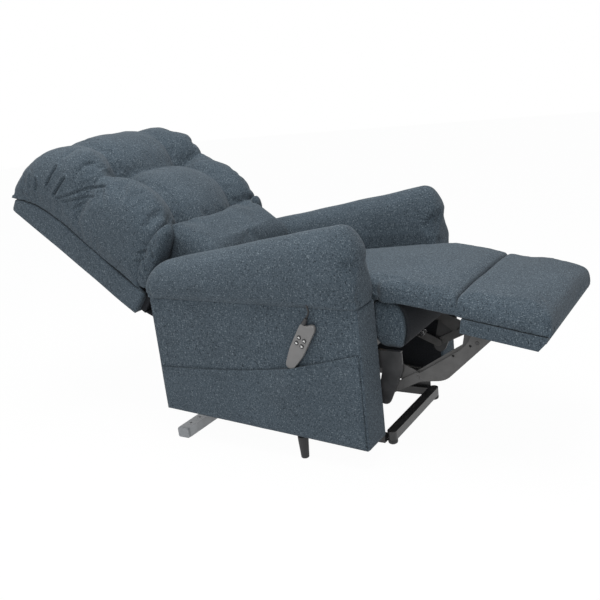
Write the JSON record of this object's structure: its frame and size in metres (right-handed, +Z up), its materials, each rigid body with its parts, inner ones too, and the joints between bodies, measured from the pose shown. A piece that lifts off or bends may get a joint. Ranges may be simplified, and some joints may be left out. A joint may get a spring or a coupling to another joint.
{
  "type": "lift recliner chair",
  "caption": "Upholstered power lift recliner chair with tufted back, laid back with its legrest raised on a steel linkage, and a hand control in a side pocket.",
  "frame": {"origin": "centre of the bounding box on the floor plane, between the base feet", "axes": "+X from the back towards the footrest, +Y to the sitter's left, +Z up"},
  "size_m": [1.7994, 0.732, 0.9594],
  "materials": {
    "upholstery": "matte",
    "black_paint": "satin",
    "grey_paint": "satin",
    "silver_paint": "satin",
    "rod_steel": "satin",
    "black_plastic": "matte",
    "grey_plastic": "matte",
    "handset_plastic": "satin",
    "button_plastic": "satin",
    "black_rubber": "matte",
    "frame_wood": "matte",
    "black_cloth": "matte"
  },
  "bodies": {
    "base": {"rear_cross_bar": "silver_paint", "front_cross_tube": "black_paint", "rear_bar_cap_R": "grey_plastic", "rear_bar_cap_L": "grey_plastic", "front_foot_R": "black_rubber", "front_foot_L": "black_rubber", "base_rail_R": "black_paint", "base_rail_L": "black_paint"},
    "lift_arms": {"lift_arm_R": "black_paint", "lift_arm_L": "black_paint", "lift_cross_tube": "black_paint"},
    "lift_guides": {"lift_guide_R": "grey_paint", "lift_guide_L": "grey_paint"},
    "lift_motor": {"lift_motor": "black_plastic"},
    "lift_rod": {"lift_rod": "rod_steel"},
    "chassis": {"mechanism_plate_R": "black_paint", "mechanism_plate_L": "black_paint", "seat_cross_tube": "black_paint", "rear_cross_tube": "black_paint", "seat_deck": "frame_wood", "seat_cushion": "upholstery", "seat_front_roll": "upholstery", "arm_panel_R": "upholstery", "arm_panel_L": "upholstery", "arm_pad_R": "upholstery", "arm_pad_L": "upholstery", "side_foot_R": "black_rubber", "side_foot_L": "black_rubber", "side_pocket": "upholstery", "handset_case": "handset_plastic", "handset_relief": "black_plastic", "handset_cord": "black_rubber"},
    "front_links": {"front_support_link_R": "grey_paint", "front_support_link_L": "grey_paint", "torque_tube": "black_paint"},
    "rear_links": {"rear_support_link_R": "grey_paint", "rear_support_link_L": "grey_paint"},
    "long_plates": {"long_plate_R": "grey_paint", "long_plate_L": "grey_paint"},
    "control_links": {"control_link_R": "grey_paint", "control_link_L": "grey_paint"},
    "footrest": {"footrest_bracket_R": "black_paint", "footrest_bracket_L": "black_paint", "footrest_base": "upholstery", "footrest_pad": "upholstery"},
    "bridge": {"bridge_pad": "upholstery"},
    "legrest_motor": {"legrest_motor": "black_plastic"},
    "legrest_rod": {"legrest_rod": "rod_steel"},
    "back": {"back_frame": "black_cloth", "back_shell": "upholstery", "back_drive_yoke": "black_paint", "back_cushion": "upholstery", "lumbar_cushion": "upholstery"},
    "back_motor": {"back_motor": "black_plastic"},
    "back_rod": {"back_rod": "rod_steel"},
    "button_1": {"handset_button_1": "button_plastic"},
    "button_2": {"handset_button_2": "button_plastic"},
    "button_3": {"handset_button_3": "button_plastic"},
    "button_4": {"handset_button_4": "button_plastic"}
  },
  "joints": [
    {"name": "lift", "type": "hinge", "parent": "base", "child": "lift_arms", "pos_m": [0.3404, 0, 0.075], "axis": [0, 1, 0], "range_deg": [0, 35]},
    {"name": "chassis_tilt", "type": "hinge", "parent": "lift_arms", "child": "chassis", "pos_m": [-0.1496, 0, 0.11], "axis": [0, 1, 0], "range_deg": [-15, 0]},
    {"name": "lift_guides", "type": "hinge", "parent": "base", "child": "lift_guides", "pos_m": [0.3754, 0, 0.082], "axis": [0, 1, 0], "range_deg": [0, 38]},
    {"name": "legrest", "type": "hinge", "parent": "chassis", "child": "front_links", "pos_m": [0.3617, 0, 0.3109], "axis": [0, 1, 0], "range_deg": [0, 84]},
    {"name": "rear_links", "type": "hinge", "parent": "chassis", "child": "rear_links", "pos_m": [0.2557, 0, 0.2539], "axis": [0, 1, 0], "range_deg": [0, 84]},
    {"name": "long_plates", "type": "hinge", "parent": "front_links", "child": "long_plates", "pos_m": [0.5264, 0, 0.243], "axis": [0, 1, 0], "range_deg": [-84, 0]},
    {"name": "control_links", "type": "hinge", "parent": "front_links", "child": "control_links", "pos_m": [0.49468, 0, 0.22821], "axis": [0, 1, 0], "range_deg": [-84, 0]},
    {"name": "footrest", "type": "hinge", "parent": "long_plates", "child": "footrest", "pos_m": [0.7004, 0, 0.358], "axis": [0, 1, 0], "range_deg": [0, 84]},
    {"name": "bridge", "type": "hinge", "parent": "chassis", "child": "bridge", "pos_m": [0.5014, 0, 0.455], "axis": [0, 1, 0], "range_deg": [0, 62]},
    {"name": "back", "type": "hinge", "parent": "chassis", "child": "back", "pos_m": [-0.2596, 0, 0.44], "axis": [0, 1, 0], "range_deg": [0, 36]},
    {"name": "lift_motor_pivot", "type": "hinge", "parent": "base", "child": "lift_motor", "pos_m": [-0.2076, 0, 0.076], "axis": [0, 1, 0], "range_deg": [-9.68, 0]},
    {"name": "lift_rod_stroke", "type": "slide", "parent": "lift_motor", "child": "lift_rod", "axis": [0.9613, 0, 0.2755], "range_m": [0, 0.1273]},
    {"name": "legrest_motor_pivot", "type": "hinge", "parent": "chassis", "child": "legrest_motor", "pos_m": [0.0624, 0, 0.25], "axis": [0, 1, 0], "range_deg": [-0.34, 0]},
    {"name": "legrest_rod_stroke", "type": "slide", "parent": "legrest_motor", "child": "legrest_rod", "axis": [0.9999, 0, 0.0148], "range_m": [-0.1004, 0]},
    {"name": "back_motor_pivot", "type": "hinge", "parent": "chassis", "child": "back_motor", "pos_m": [0.0014, 0, 0.25], "axis": [0, 1, 0], "range_deg": [-4.47, 0]},
    {"name": "back_rod_stroke", "type": "slide", "parent": "back_motor", "child": "back_rod", "axis": [-0.936, 0, 0.352], "range_m": [0, 0.0646]},
    {"name": "button_1_press", "type": "slide", "parent": "chassis", "child": "button_1", "axis": [0, 1, 0], "range_m": [0, 0.0008], "stiffness_N_per_m": 300},
    {"name": "button_2_press", "type": "slide", "parent": "chassis", "child": "button_2", "axis": [0, 1, 0], "range_m": [0, 0.0008], "stiffness_N_per_m": 300},
    {"name": "button_3_press", "type": "slide", "parent": "chassis", "child": "button_3", "axis": [0, 1, 0], "range_m": [0, 0.0008], "stiffness_N_per_m": 300},
    {"name": "button_4_press", "type": "slide", "parent": "chassis", "child": "button_4", "axis": [0, 1, 0], "range_m": [0, 0.0008], "stiffness_N_per_m": 300}
  ],
  "couplings": [
    {"joint": "chassis_tilt", "follows": "lift", "ratio": -0.42857},
    {"joint": "lift_guides", "follows": "lift", "ratio": 1.0857},
    {"joint": "rear_links", "follows": "legrest", "ratio": 1},
    {"joint": "long_plates", "follows": "legrest", "ratio": -1},
    {"joint": "control_links", "follows": "legrest", "ratio": -1},
    {"joint": "footrest", "follows": "legrest", "ratio": 1},
    {"joint": "bridge", "follows": "legrest", "ratio": 0.73809},
    {"joint": "lift_motor_pivot", "follows": "lift", "ratio": -0.27657},
    {"joint": "lift_rod_stroke", "follows": "lift", "m_per_rad": 0.20839},
    {"joint": "legrest_motor_pivot", "follows": "legrest", "ratio": -0.004048},
    {"joint": "legrest_rod_stroke", "follows": "legrest", "m_per_rad": -0.068482},
    {"joint": "back_motor_pivot", "follows": "back", "ratio": -0.12417},
    {"joint": "back_rod_stroke", "follows": "back", "m_per_rad": 0.10281}
  ]
}
